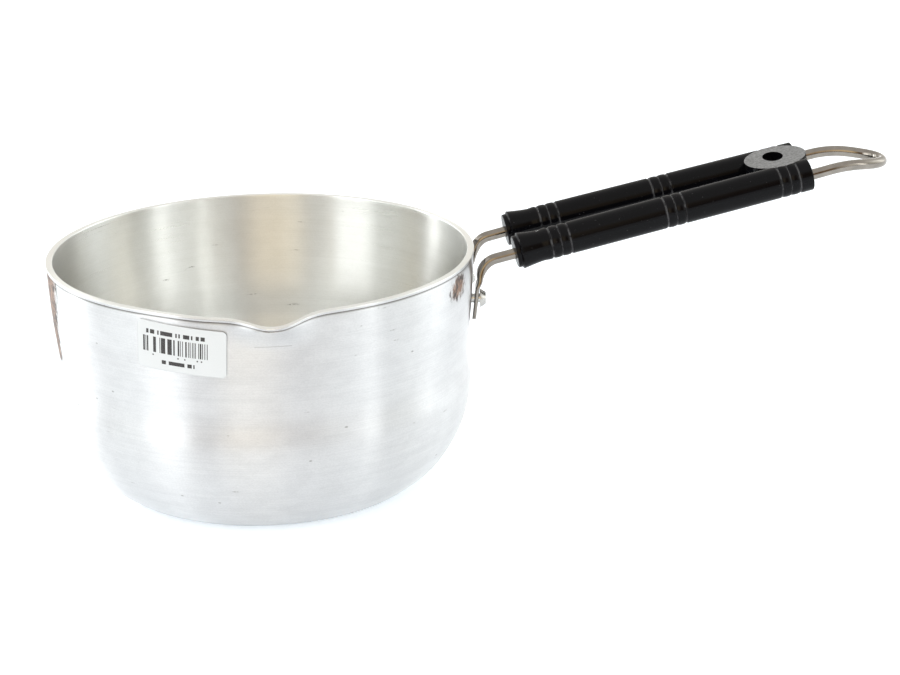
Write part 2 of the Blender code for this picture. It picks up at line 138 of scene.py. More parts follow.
# Rod
ROD_RADIUS = 2.36 * MM
ROD_SIDES = 32
ROD_SHARP = 50.0
LEG_X = 93.2 * MM
LEG_BEND = 9.0 * MM
TAB_THICKNESS = 1.8 * MM
TAB_HALF_WIDTH = 5.2 * MM
TAB_BOTTOM = 68.6 * MM
TAB_TOP = 82.5 * MM
TAB_STANDOFF = 1.2 * MM
TAB_LEAN = math.radians(6.5)
TAB_SQUARENESS = 4.0
FOOT_STEPS = 16
UPRIGHT_STEPS = 14
BEND_STEPS = 24
ROUND_FROM = 95.0 * MM
FREE_FROM = 91.0 * MM
LOOP_START = 242.0 * MM
LOOP_LENGTH = 34.98 * MM
LOOP_SQUARENESS = 2.2
LOOP_STEPS = 120
LEVEL_START = 249.0 * MM
LEVEL_END = 265.0 * MM
LEVEL_SLOPE = -0.10

# Rivets
RIVET_HEIGHT = 78.2 * MM
RIVET_HEAD = (4.0 * MM, 2.8 * MM, 2.7 * MM)
RIVET_SHANK = 2.0 * MM
RIVET_TAIL = (3.8 * MM, 1.3 * MM)
RIVET_EDGE = 0.4 * MM
RIVET_SEGMENTS = 64
RIVET_SHARP = 40.0

# Label
LABEL_BEARING = math.radians(-115.8)
LABEL_HEIGHT = 86.6 * MM
LABEL_SIZE = (38.2 * MM, 20.6 * MM)
LABEL_TILT = math.radians(-4.0)
LABEL_CORNER = 2.2 * MM
LABEL_THICKNESS = 0.3 * MM
LABEL_GRID = (96, 52)

# Camera: its place, its turns about X, Y and Z in degrees, and its lens
CAMERA_PLACE = (-0.07185, -0.96897, 0.39132)
CAMERA_TURNS = (71.106, 0.802, -9.300)
CAMERA_LENS = 93.627
CAMERA_SENSOR = 36.0

# Studio: brightness of the surroundings by bearing, as (turn from 0 to 1, colour). Turn 0 is
# behind the pot, 0.5 is the side the camera looks from, and a lower turn is to its left.
STUDIO_SEAM = 85.75                 # bearing of turn 0, degrees
STUDIO = [
    (0.000, (1.02, 0.99, 0.93)),
    (0.070, (0.90, 0.87, 0.80)),
    (0.095, (2.90, 3.05, 3.05)),
    (0.160, (2.50, 2.60, 2.60)),
    (0.174, (9.00, 9.10, 9.00)),
    (0.185, (9.00, 9.10, 9.00)),
    (0.195, (0.55, 0.57, 0.54)),
    (0.225, (0.90, 0.93, 0.90)),
    (0.262, (1.75, 1.82, 1.78)),
    (0.300, (1.55, 1.61, 1.57)),
    (0.322, (3.60, 3.65, 3.60)),
    (0.364, (3.60, 3.65, 3.60)),
    (0.384, (0.32, 0.18, 0.05)),
    (0.412, (0.16, 0.07, 0.01)),
    (0.450, (1.75, 1.38, 0.84)),
    (0.500, (1.65, 1.32, 0.85)),
    (0.541, (0.22, 0.10, 0.02)),
    (0.565, (0.36, 0.22, 0.08)),
    (0.600, (0.95, 0.91, 0.80)),
    (0.645, (1.60, 1.62, 1.56)),
    (0.657, (3.40, 3.45, 3.35)),
    (0.669, (3.40, 3.45, 3.35)),
    (0.682, (0.80, 0.80, 0.74)),
    (0.720, (1.05, 1.06, 0.98)),
    (0.760, (2.00, 2.05, 1.98)),
    (0.808, (3.50, 3.60, 3.55)),
    (0.853, (1.60, 1.64, 1.62)),
    (0.900, (1.20, 1.20, 1.15)),
    (0.930, (0.90, 0.87, 0.80)),
    (1.000, (1.02, 0.99, 0.93)),
]
# The same near the horizon: a lit backdrop behind the pot and a dimmer room behind the camera
HORIZON = [
    (0.00, (2.30, 2.30, 2.32)),
    (0.12, (2.00, 2.00, 2.02)),
    (0.24, (1.10, 1.11, 1.13)),
    (0.36, (0.75, 0.76, 0.78)),
    (0.50, (0.62, 0.63, 0.65)),
    (0.64, (0.75, 0.76, 0.78)),
    (0.76, (1.20, 1.21, 1.23)),
    (0.88, (2.00, 2.00, 2.02)),
    (1.00, (2.30, 2.30, 2.32)),
]
CEILING = (1.00, 0.98, 0.95)
# Where HORIZON gives way to STUDIO, and STUDIO to CEILING, as sines of the elevation
HORIZON_EDGE = (0.02, 0.14)
CEILING_EDGE = (0.45, 0.75)
WHITE = (1.0, 1.0, 1.0)
FLOOR_HALF = 6.0
FLOOR_DROP = 0.05 * MM
FLOOR_GLOW = 0.42                   # light-table glow of the floor
CARD_SIZE = (1.1, 0.13)             # a low card in front of the pot, metres
CARD_PLACE = (-0.04, -0.50, 0.066)
CARD_GLOW = 1.15
KEY_BEARING = 196.0
KEY_ELEVATION = 48.0
KEY_DISTANCE = 1.5
KEY_SIZE = 0.9
KEY_POWER = 2.0
KEY_TARGET = Vector((0.03, 0.0, 0.05))


# ---------------------------------------------------------------- shapes

def smooth_chain(points, steps):
    """A Catmull-Rom curve through points, with the same number of steps in each span."""
    ends = [2 * points[0] - points[1]] + points + [2 * points[-1] - points[-2]]
    chain = []
    for a, b, c, d in zip(ends, ends[1:], ends[2:], ends[3:]):
        for step in range(steps):
            t = step / steps
            chain.append(0.5 * (2 * b + (c - a) * t + (2 * a - 5 * b + 4 * c - d) * t * t
                                + (3 * b - 3 * c + d - a) * t ** 3))
    return chain + [points[-1]]


def clamp(value):
    """The value, held between 0 and 1."""
    return min(max(value, 0.0), 1.0)


def smoothstep(value):
    """0 below 0, 1 above 1, and a smooth rise between them."""
    value = clamp(value)
    return value * value * (3.0 - 2.0 * value)


def arc(centre, radius, start, end, steps):
    """Points on an arc, with angles in degrees."""
    turns = [math.radians(start + (end - start) * i / steps) for i in range(steps + 1)]
    return [(centre[0] + radius * math.cos(turn), centre[1] + radius * math.sin(turn))
            for turn in turns]


def as_object(name, mesh, sharp=35.0):
    """An object in the scene, smooth except at edges sharper than an angle in degrees."""
    obj = bpy.data.objects.new(name, mesh)
    bpy.context.scene.collection.objects.link(obj)
    mesh.shade_smooth()
    mesh.set_sharp_from_angle(angle=math.radians(sharp))
    return obj


def lathe(name, profile, segments, shade_masks=None):
    """A closed mesh turned about Z from (radius, height) points.

    The second argument gives a value for each profile point, kept on the vertices as a float
    attribute: the mask of painted shade that the material reads.
    The distance along the profile is kept on the vertices as "travel".
    """
    travel = [0.0]
    for before, here in zip(profile, profile[1:]):
        travel.append(travel[-1] + math.dist(before, here))
    bm = bmesh.new()
    travel_layer = bm.verts.layers.float.new("travel")
    groove_shade_layer = bm.verts.layers.float.new("groove_shade")
    rings = []
    for i, (radius, height) in enumerate(profile):
        count = 1 if radius == 0.0 else segments
        ring = []
        for k in range(count):
            turn = 2 * math.pi * k / segments
            vertex = bm.verts.new((radius * math.cos(turn), radius * math.sin(turn), height))
            vertex[travel_layer] = travel[i]
            vertex[groove_shade_layer] = shade_masks[i] if shade_masks else 0.0
            ring.append(vertex)
        rings.append(ring)
    for ring, after in zip(rings, rings[1:]):
        for k in range(segments):
            j = (k + 1) % segments
            if len(ring) == 1:
                bm.faces.new((ring[0], after[k], after[j]))
            elif len(after) == 1:
                bm.faces.new((ring[j], ring[k], after[0]))
            else:
                bm.faces.new((ring[j], ring[k], after[k], after[j]))
    bmesh.ops.recalc_face_normals(bm, faces=bm.faces)
    mesh = bpy.data.meshes.new(name)
    bm.to_mesh(mesh)
    bm.free()
    return mesh


def cylinder_mesh(name, radius_x, radius_y, bottom, top, segments):
    """A round or oval cylinder along Z."""
    bm = bmesh.new()
    bmesh.ops.create_cone(bm, cap_ends=True, segments=segments, radius1=1.0, radius2=1.0,
                          depth=1.0)
    bmesh.ops.transform(bm, verts=bm.verts, matrix=Matrix.Translation((0, 0, (top + bottom) / 2))
                        @ Matrix.Diagonal((radius_x, radius_y, top - bottom, 1.0)))
    mesh = bpy.data.meshes.new(name)
    bm.to_mesh(mesh)
    bm.free()
    return mesh


def outline_points():
    """The outer wall from the base up to the lip."""
    return smooth_chain([Vector(point) * MM for point in OUTLINE], OUTLINE_STEPS)


OUTLINE_CURVE = outline_points()


def wall_radius(height):
    """Radius of the outer wall at a height."""
    for low, high in zip(OUTLINE_CURVE, OUTLINE_CURVE[1:]):
        if low.y <= height <= high.y:
            return low.x + (high.x - low.x) * (height - low.y) / (high.y - low.y)
    return OUTLINE_CURVE[-1].x


def inner_wall_points():
    """The outer wall moved inward by the wall thickness, from the floor up to the lip."""
    inner = []
    for before, here, after in zip(OUTLINE_CURVE, OUTLINE_CURVE[1:], OUTLINE_CURVE[2:]):
        along = (after - before).normalized()
        moved = here + WALL * Vector((-along.y, along.x))
        if moved.y > WALL:
            inner.append(moved)
    return inner


def pan_profile():
    """Points from the middle of the floor, up inside, over the lip and down to the base.

    The second list marks the points in the groove under the lip, where the material paints shade.
    """
    bore = RIM_RADIUS - LIP_WIDTH
    under_lip = RIM_HEIGHT - LIP_HEIGHT
    depth, height = CREASE
    inside = [(point.x, point.y) for point in inner_wall_points()
              if point.y < under_lip - LIP_NECK]
    lip = [(bore, under_lip - LIP_NECK)]
    lip += arc((bore + LIP_ROUND, RIM_HEIGHT - LIP_ROUND), LIP_ROUND, 180, 90, 5)
    lip += arc((RIM_RADIUS - LIP_ROUND, RIM_HEIGHT - LIP_ROUND), LIP_ROUND, 90, 0, 5)
    lip += arc((RIM_RADIUS - LIP_ROUND, under_lip + LIP_ROUND), LIP_ROUND, 0, -80, 4)
    neck = wall_radius(under_lip - height)
    groove = [(neck - depth, under_lip), (neck - depth, under_lip - height * 0.45)]
    outside = [(point.x, point.y) for point in reversed(OUTLINE_CURVE)
               if point.y < under_lip - height]
    floor_edge = inside[0][0] - FLOOR_EDGE
    floor = [(floor_edge * i / FLOOR_RINGS, WALL) for i in range(FLOOR_RINGS + 1)]
    base = [(outside[-1][0] * i / FLOOR_RINGS, 0.0) for i in reversed(range(FLOOR_RINGS))]
    before = floor + inside + lip
    profile = before + groove + outside + base
    marked = len(before) + len(groove)
    shade_masks = [1.0 if len(before) <= i < marked else 0.0 for i in range(len(profile))]
    return profile, shade_masks


def draw_spout(point):
    """Where a point of the plain turned pan goes when the spout is drawn in the rim."""
    bearing = math.atan2(point.y, point.x)
    depth = smoothstep((point.z - (RIM_HEIGHT - SPOUT_DEPTH)) / SPOUT_DEPTH)
    spout = math.exp(-abs((bearing - SPOUT_BEARING) / SPOUT_SPREAD) ** SPOUT_FLATNESS)
    sag = math.exp(-((bearing - SAG_BEARING) / SAG_SPREAD) ** 2)
    outward = Vector((math.cos(bearing), math.sin(bearing), 0.0))
    drop = SPOUT_DROP * spout + SAG_DROP * sag
    return point + depth * (SPOUT_REACH * spout * outward - Vector((0, 0, drop * depth)))


def painted_reflection_at(point):
    """How much painted reflection the outer wall carries: a blot beside the near tab for the rod
    and tab reflected in it, and one long streak opposite.
    """
    height = point.z
    if height > RIM_HEIGHT - LIP_HEIGHT or point.xy.length < wall_radius(height) - WALL / 2:
        return 0.0
    bearing = math.degrees(math.atan2(point.y, point.x))
    across = (bearing - TAB_REFLECTION[0]) / TAB_REFLECTION[1]
    up = (height - TAB_REFLECTION[2]) / TAB_REFLECTION[3]
    tab_patch = 1.0 - math.hypot(across, up)
    beside = abs((bearing - STREAK_BEARING + 180.0) % 360.0 - 180.0)
    length = (height - STREAK_FOOT) / (RIM_HEIGHT - LIP_HEIGHT - STREAK_FOOT)
    streak = 0.0
    if length > 0.0:
        streak = 1.0 - beside / (STREAK_WIDTH[0] + (STREAK_WIDTH[1] - STREAK_WIDTH[0]) * length)
    return max(tab_patch, streak, 0.0)


def inside_at(point):
    """1 on the inner wall, the floor and the top of the lip, 0 on the outer wall and base."""
    on_lip = point.z > RIM_HEIGHT - LIP_ROUND
    return float(on_lip or (point.z > WALL / 2
                            and point.xy.length < wall_radius(point.z) - WALL / 2))


def make_pan():
    """The spun pan, with the spout drawn in its rim."""
    profile, shade_masks = pan_profile()
    mesh = lathe("pan_shell", profile, PAN_SEGMENTS, shade_masks)
    painted_reflection = mesh.attributes.new("painted_reflection", "FLOAT", "POINT")
    inside = mesh.attributes.new("inside", "FLOAT", "POINT")
    for i, vertex in enumerate(mesh.vertices):
        painted_reflection.data[i].value = painted_reflection_at(vertex.co)
        inside.data[i].value = inside_at(vertex.co)
        vertex.co = draw_spout(vertex.co)
    return as_object("pan_shell", mesh)


def axis_point(distance):
    """A point midway between the two rods, at a distance along the handle."""
    rise = Vector((math.cos(HANDLE_SLOPE), 0.0, math.sin(HANDLE_SLOPE)))
    return AXIS_START + distance * rise


def far_shift(x):
    """How far the far side of the handle stands off from a mirror image of the near side."""
    grip_start = axis_point(GRIP_OFFSET).x
    grip_end = axis_point(GRIP_OFFSET + GRIP_LENGTH).x
    beside_leg = clamp((x - LEG_X) / (grip_start - LEG_X))
    beside_grip = clamp((x - grip_start) / (grip_end - grip_start))
    return Vector((FAR_OUT[0] + (FAR_OUT[1] - FAR_OUT[0]) * beside_leg, 0.0,
                   FAR_UP[0] + (FAR_UP[1] - FAR_UP[0]) * beside_grip))


def rod_height(x):
    """Height of the rod's centre line outside the bend at the pan."""
    straight = AXIS_START.z + (min(x, LEVEL_START) - AXIS_START.x) * math.tan(HANDLE_SLOPE)
    straight -= BORE_DROP
    bend = min(max(x - LEVEL_START, 0.0), LEVEL_END - LEVEL_START)
    curve = (math.tan(HANDLE_SLOPE) - LEVEL_SLOPE) / (LEVEL_END - LEVEL_START)
    beyond = max(x - LEVEL_END, 0.0)
    return straight + math.tan(HANDLE_SLOPE) * bend - curve * bend * bend / 2 + LEVEL_SLOPE * beyond


def leg_route():
    """Centre line of one leg in X and Z, from the foot of its tab to where the loop starts."""
    tab_x = (wall_radius(RIVET_HEIGHT) + TAB_STANDOFF + TAB_THICKNESS / 2)
    tab_x *= math.cos(math.asin(ROD_SPACING / 2 / wall_radius(RIVET_HEIGHT)))
    centre_x = LEG_X + LEG_BEND
    end_x = centre_x - LEG_BEND * math.sin(HANDLE_SLOPE)
    centre_z = rod_height(end_x) - LEG_BEND * math.cos(HANDLE_SLOPE)
    foot = []
    for step in range(FOOT_STEPS):
        height = TAB_BOTTOM + (TAB_TOP - TAB_BOTTOM) * (step / FOOT_STEPS) ** 2
        foot.append(Vector((tab_x + (height - RIVET_HEIGHT) * math.tan(TAB_LEAN), 0, height)))
    top_x = tab_x + (TAB_TOP - RIVET_HEIGHT) * math.tan(TAB_LEAN)
    upright = [Vector((top_x + (LEG_X - top_x) * smoothstep(step / UPRIGHT_STEPS), 0,
                       TAB_TOP + (centre_z - TAB_TOP) * step / UPRIGHT_STEPS))
               for step in range(UPRIGHT_STEPS)]
    turn = math.pi / 2 - HANDLE_SLOPE
    angles = [turn * step / BEND_STEPS for step in range(BEND_STEPS + 1)]
    bend = [Vector((centre_x - LEG_BEND * math.cos(angle), 0,
                    centre_z + LEG_BEND * math.sin(angle))) for angle in angles]
    grips = [axis_point(distance) - Vector((0, 0, BORE_DROP))
             for distance in (GRIP_OFFSET, GRIP_OFFSET + GRIP_LENGTH)]
    return foot + upright + bend + grips


def flatness(height):
    """0 where the rod is round, 1 where it is flattened into a tab."""
    return smoothstep((ROUND_FROM - height) / (ROUND_FROM - TAB_TOP))


def rod_section(place, across, along):
    """One ring of the rod: a circle, or the squared oval of the tab."""
    flat = flatness(place.z) if place.x < AXIS_START.x else 0.0
    foot = (place.z - TAB_BOTTOM) / TAB_HALF_WIDTH - 1.0
    narrowing = math.sqrt(max(1.0 - min(foot, 0.0) ** 2, 0.02))
    half_width = (ROD_RADIUS + (TAB_HALF_WIDTH - ROD_RADIUS) * flat) * narrowing
    half_depth = ROD_RADIUS + (TAB_THICKNESS / 2 - ROD_RADIUS) * flat
    power = 2.0 / (2.0 + (TAB_SQUARENESS - 2.0) * flat)
    depth_way = along.cross(across).normalized()
    ring = []
    for i in range(ROD_SIDES):
        angle = 2 * math.pi * (i + 0.5) / ROD_SIDES
        wide = math.copysign(abs(math.cos(angle)) ** power, math.cos(angle))
        deep = math.copysign(abs(math.sin(angle)) ** power, math.sin(angle))
        ring.append(place + across * half_width * wide + depth_way * half_depth * deep)
    return ring


def stand_out(place):
    """A point of the even rod, moved as the far side stands out and up. The tabs stay put."""
    far_side = place.y / ROD_SPACING + 0.5
    free = smoothstep((place.z - TAB_TOP) / (FREE_FROM - TAB_TOP))
    return place + far_side * free * far_shift(place.x)


def rod_route():
    """Centre line and sideways direction of the whole rod, from tab to tab."""
    half = ROD_SPACING / 2
    tab_bearing = math.asin(half / wall_radius(RIVET_HEIGHT))
    places = []
    sides = []
    for point in leg_route():
        swing = tab_bearing * (flatness(point.z) if point.x < AXIS_START.x else 0.0)
        places.append(point + Vector((0, -half, 0)))
        sides.append(Vector((math.sin(swing), math.cos(swing), 0)))
    power = 2.0 / LOOP_SQUARENESS
    for step in range(LOOP_STEPS // 2 + 1):
        angle = math.pi / 2 * step / (LOOP_STEPS // 2)
        x = LOOP_START + LOOP_LENGTH * math.sin(angle) ** power
        places.append(Vector((x, -half * max(math.cos(angle), 0.0) ** power, rod_height(x))))
        sides.append(Vector((-math.sin(angle), math.cos(angle), 0)))
    for place, side in list(zip(places, sides))[-2::-1]:
        places.append(Vector((place.x, -place.y, place.z)))
        sides.append(Vector((side.x, -side.y, 0)))
    return [stand_out(place) for place in places], sides


def make_rod():
    """The hairpin rod, lofted along its route. "travel" is the distance along it."""
    places, sides = rod_route()
    bm = bmesh.new()
    layer = bm.verts.layers.float.new("travel")
    rings = []
    travel = 0.0
    for i, (place, side) in enumerate(zip(places, sides)):
        along = (places[min(i + 1, len(places) - 1)] - places[max(i - 1, 0)]).normalized()
        across = (side - side.dot(along) * along).normalized()
        ring = [bm.verts.new(co) for co in rod_section(place, across, along)]
        if i:
            travel += (place - places[i - 1]).length
        for vertex in ring:
            vertex[layer] = travel
        rings.append(ring)
    for ring, after in zip(rings, rings[1:]):
        for i in range(ROD_SIDES):
            j = (i + 1) % ROD_SIDES
            bm.faces.new((ring[i], ring[j], after[j], after[i]))
    bm.faces.new(rings[0])
    bm.faces.new(rings[-1])
    bmesh.ops.recalc_face_normals(bm, faces=bm.faces)
    mesh = bpy.data.meshes.new("rod_wire")
    bm.to_mesh(mesh)
    bm.free()
    return as_object("rod_wire", mesh, ROD_SHARP)


def grip_radius(distance):
    """Radius of a grip at a distance from its pan end."""
    if distance < FLARE_LENGTH:
        flare = (FLARE_LENGTH - distance) / (FLARE_LENGTH - COLLAR_LENGTH)
        return NECK_RADIUS + (FLARE_RADIUS - NECK_RADIUS) * flare ** FLARE_CURVE
    for centre in GROUP_CENTRES:
        away = abs(distance - centre)
        if away < GROOVE_PITCH:
            bulge = abs(math.sin(math.pi * away / GROOVE_PITCH)) ** RING_BULGE
            return GROOVE_BOTTOM + (RING_TOP - GROOVE_BOTTOM) * bulge
        if away < GROUP_HALF:
            rise = (away - GROOVE_PITCH) / GROOVE_BANK
            return GROOVE_BOTTOM + (BARREL_RADIUS - GROOVE_BOTTOM) * smoothstep(rise)
    if distance < GROUP_CENTRES[0]:
        rise = (distance - FLARE_LENGTH) / (GROUP_CENTRES[0] - GROUP_HALF - FLARE_LENGTH)
        return NECK_RADIUS + (BARREL_RADIUS - NECK_RADIUS) * smoothstep(rise)
    return BARREL_RADIUS


def grip_profile():
    """Outline of one grip as (radius, distance), from its far end down to its pan end."""
    stations = [COLLAR_LENGTH + (FLARE_LENGTH - COLLAR_LENGTH) * i / FLARE_STEPS
                for i in range(FLARE_STEPS + 1)]
    reach = 3 * GROOVE_STEPS // 2
    for centre in GROUP_CENTRES:
        stations += [centre + step * GROOVE_PITCH / GROOVE_STEPS
                     for step in range(-reach, reach + 1)]
    outline = [(grip_radius(station), station) for station in stations]
    pan_end = [(0.0, 0.0)]
    pan_end += arc((COLLAR_RADIUS - EDGE_ROUND, EDGE_ROUND), EDGE_ROUND, -90, 0, 5)
    pan_end += [(COLLAR_RADIUS, COLLAR_LENGTH - EDGE_ROUND)]
    pan_end += [(FLARE_RADIUS - EDGE_ROUND, COLLAR_LENGTH - 0.4 * EDGE_ROUND)]
    outline[0] = (FLARE_RADIUS, COLLAR_LENGTH + 0.4 * EDGE_ROUND)
    far_end = arc((BARREL_RADIUS - EDGE_ROUND, GRIP_LENGTH - EDGE_ROUND), EDGE_ROUND, 0, 90, 5)
    far_end += [(0.0, GRIP_LENGTH)]
    return list(reversed(pan_end + outline + far_end))


def handle_matrix(side):
    """Local Z along the handle and X down across it: -1 on the near grip, 1 far, 0 between."""
    start = axis_point(GRIP_OFFSET)
    end = axis_point(GRIP_OFFSET + GRIP_LENGTH)
    if side > 0:
        start += far_shift(start.x)
        end += far_shift(end.x)
    slope = math.atan2(end.z - start.z, end.x - start.x)
    start.y = side * ROD_SPACING / 2
    return Matrix.Translation(start) @ Matrix.Rotation(math.pi / 2 - slope, 4, "Y")


def groove_at(point):
    """1 in the bottom of a groove, for a point in a grip's own coordinates."""
    radius = math.hypot(point.x, point.y)
    low = ROD_RADIUS + BORE_MARGIN < radius < GROOVE_BOTTOM + GLINT_DEPTH
    return float(low and point.z > COLLAR_LENGTH)


def make_grip():
    """Both grips and the hanging eye, moulded as one piece and ground flat on top."""
    tools = []

    def combine(mesh, matrix, operation):
        tool = bpy.data.objects.new(mesh.name, mesh)
        bpy.context.scene.collection.objects.link(tool)
        tool.matrix_world = matrix
        boolean = near.modifiers.new(mesh.name, "BOOLEAN")
        boolean.operation = operation
        boolean.solver = "EXACT"
        boolean.object = tool
        tools.append(tool)

    barrel = lathe("barrel", grip_profile(), GRIP_SEGMENTS)
    near = bpy.data.objects.new("near_barrel", barrel)
    bpy.context.scene.collection.objects.link(near)
    near.matrix_world = handle_matrix(-1)
    upright = handle_matrix(0) @ Matrix.Translation((0, 0, EYE_CENTRE))
    upright = upright @ Matrix.Rotation(-math.pi / 2, 4, "Y")
    combine(barrel.copy(), handle_matrix(1), "UNION")
    combine(cylinder_mesh("plate", *EYE_SIZE, EYE_BOTTOM, EYE_TOP + 2 * MM, EYE_SEGMENTS),
            upright, "UNION")
    combine(cylinder_mesh("hole", *EYE_HOLE, EYE_BOTTOM - MM, EYE_TOP + 3 * MM, EYE_SEGMENTS),
            upright @ Matrix.Translation((*EYE_HOLE_SHIFT, 0.0)), "DIFFERENCE")
    combine(cylinder_mesh("grind", EYE_SIZE[0] + GRIND_MARGIN, EYE_SIZE[1] + GRIND_MARGIN,
                          EYE_TOP, EYE_TOP + GRIND_DEPTH, EYE_SEGMENTS), upright, "DIFFERENCE")
    drop = Matrix.Translation((0, 0, -BORE_DROP))
    for side, name in ((-1, "bore_near"), (1, "bore_far")):
        bore = cylinder_mesh(name, ROD_RADIUS + GAP, ROD_RADIUS + GAP, -5 * MM,
                             GRIP_LENGTH + 5 * MM, ROD_SIDES)
        combine(bore, drop @ handle_matrix(side), "DIFFERENCE")
    bpy.context.view_layer.update()
    depsgraph = bpy.context.evaluated_depsgraph_get()
    mesh = bpy.data.meshes.new_from_object(near.evaluated_get(depsgraph))
    mesh.transform(near.matrix_world)
    for obj in tools + [near]:
        bpy.data.objects.remove(obj)
    mesh.name = "grip_moulding"
    grip = as_object("grip_moulding", mesh, GRIP_SHARP)
    groove = mesh.attributes.new("groove", "FLOAT", "POINT")
    to_near, to_far = handle_matrix(-1).inverted(), handle_matrix(1).inverted()
    for vertex, mark in zip(mesh.vertices, groove.data):
        mark.value = max(groove_at(to_near @ vertex.co), groove_at(to_far @ vertex.co))
    to_eye = upright.inverted()
    for polygon in mesh.polygons:
        centre = to_eye @ polygon.center
        facing = to_eye.to_3x3() @ polygon.normal
        if abs(centre.z - EYE_TOP) < 0.02 * MM and facing.z > 0.99:
            polygon.material_index = 1
    return grip


def rivet_matrix(side):
    """Local Z outward through the wall, at the rivet on one side of the handle."""
    bearing = side * math.asin(ROD_SPACING / 2 / wall_radius(RIVET_HEIGHT))
    place = Matrix.Rotation(bearing, 4, "Z") @ Matrix.Translation((0, 0, RIVET_HEIGHT))
    return place @ Matrix.Rotation(math.radians(90), 4, "Y")


def make_rivet(name, side):
    """One rivet, from a low head inside to a conical head outside."""
    wall = wall_radius(RIVET_HEIGHT)
    inner = wall - WALL - 2 * GAP
    outer = wall + TAB_STANDOFF + TAB_THICKNESS + 2 * GAP
    base, top, height = RIVET_HEAD
    tail, tail_height = RIVET_TAIL
    edge = RIVET_EDGE
    crown = outer + height
    head = [(0.0, crown), (top * 0.5, crown - edge * 0.075), (top - edge, crown - edge * 0.25),
            (top - edge * 0.3, crown - edge * 0.4), (top + edge * 0.1, crown - edge * 1.1),
            (base - edge * 0.1, outer + edge * 1.3), (base, outer + edge * 0.8), (base, outer)]
    shank = [(RIVET_SHANK, outer), (RIVET_SHANK, inner)]
    dome = [(tail, inner), (tail * 0.99, inner - tail_height * 0.3),
            (tail * 0.93, inner - tail_height * 0.6), (tail * 0.8, inner - tail_height * 0.8),
            (tail * 0.5, inner - tail_height * 0.95), (0.0, inner - tail_height)]
    mesh = lathe(name, head + shank + dome, RIVET_SEGMENTS)
    mesh.transform(rivet_matrix(side))
    return as_object(name, mesh, RIVET_SHARP)


def label_point(u, v, lift):
    """A point of the label: u and v from its centre along the wall, lifted off the wall."""
    along = u * math.cos(LABEL_TILT) - v * math.sin(LABEL_TILT)
    height = LABEL_HEIGHT + u * math.sin(LABEL_TILT) + v * math.cos(LABEL_TILT)
    radius = wall_radius(height)
    bearing = LABEL_BEARING + along / radius
    radius += lift
    return draw_spout(Vector((radius * math.cos(bearing), radius * math.sin(bearing), height)))


def make_label():
    """The sticker: a thin rounded sheet that follows the wall, with a flat print map."""
    half = (LABEL_SIZE[0] / 2, LABEL_SIZE[1] / 2)
    columns, rows = LABEL_GRID
    bm = bmesh.new()
    print_map = bm.loops.layers.uv.new("print")
    sheets = []
    flat = {}
    for lift in (GAP, GAP + LABEL_THICKNESS):
        sheet = []
        for j in range(rows + 1):
            for i in range(columns + 1):
                u = half[0] * (2 * i / columns - 1)
                v = half[1] * (2 * j / rows - 1)
                corner = Vector((math.copysign(half[0] - LABEL_CORNER, u),
                                 math.copysign(half[1] - LABEL_CORNER, v)))
                past = Vector((u, v)) - corner
                beyond = abs(u) > abs(corner.x) and abs(v) > abs(corner.y)
                if beyond and past.length > LABEL_CORNER:
                    u, v = corner + past.normalized() * LABEL_CORNER
                vertex = bm.verts.new(label_point(u, v, lift))
                flat[vertex] = (u / LABEL_SIZE[0] + 0.5, v / LABEL_SIZE[1] + 0.5)
                sheet.append(vertex)
        sheets.append(sheet)
    width = columns + 1
    for sheet, order in ((sheets[0], -1), (sheets[1], 1)):
        for j in range(rows):
            for i in range(columns):
                a = j * width + i
                face = (sheet[a], sheet[a + 1], sheet[a + width + 1], sheet[a + width])
                bm.faces.new(face[::order])
    border = list(range(columns))
    border += [j * width + columns for j in range(rows)]
    border += [rows * width + i for i in range(columns, 0, -1)]
    border += [j * width for j in range(rows, 0, -1)]
    for a, b in zip(border, border[1:] + border[:1]):
        bm.faces.new((sheets[0][a], sheets[0][b], sheets[1][b], sheets[1][a]))
    for face in bm.faces:
        for loop in face.loops:
            loop[print_map].uv = flat[loop.vert]
    bmesh.ops.recalc_face_normals(bm, faces=bm.faces)
    mesh = bpy.data.meshes.new("size_sticker")
    bm.to_mesh(mesh)
    bm.free()
    return as_object("size_sticker", mesh)


# ---------------------------------------------------------------- materials

class Nodes:
    """A node tree under construction, with short calls for its nodes."""

    def __init__(self, tree):
        self.tree = tree

    def node(self, kind, settings=None, **inputs):
        """A node. inputs are numbers, colours or another node's output socket."""
        node = self.tree.nodes.new(kind)
        for key, value in (settings or {}).items():
            setattr(node, key, value)
        for key, value in inputs.items():
            self.plug(node, key.replace("_", " "), value)
        return node

    def plug(self, node, key, value):
        """Sets an input, by name or by number, or links another node's output to it."""
        socket = node.inputs[key]
        if isinstance(value, bpy.types.NodeSocket):
            self.tree.links.new(value, socket)
        elif socket.type == "RGBA":
            socket.default_value = (*value, 1.0)
        else:
            socket.default_value = value

    def math(self, operation, first, second=0.0):
        """The output of a Math node."""
        node = self.node("ShaderNodeMath", {"operation": operation})
        self.plug(node, 0, first)
        self.plug(node, 1, second)
        return node.outputs[0]

    def between(self, value, low, high):
        """1 where a value lies between two numbers."""
        return self.math("MULTIPLY", self.math("GREATER_THAN", value, low),
                         self.math("LESS_THAN", value, high))

    def remap(self, value, low, high, to_low, to_high):
        """A value moved smoothly from one range to another and held there."""
        return self.node("ShaderNodeMapRange", {"interpolation_type": "SMOOTHSTEP"}, Value=value,
                         From_Min=low, From_Max=high, To_Min=to_low, To_Max=to_high).outputs[0]

    def mix(self, factor, first, second):
        """The output of a colour Mix node."""
        node = self.node("ShaderNodeMix", {"data_type": "RGBA"})
        for number, value in ((0, factor), (6, first), (7, second)):
            self.plug(node, number, value)
        return node.outputs[2]


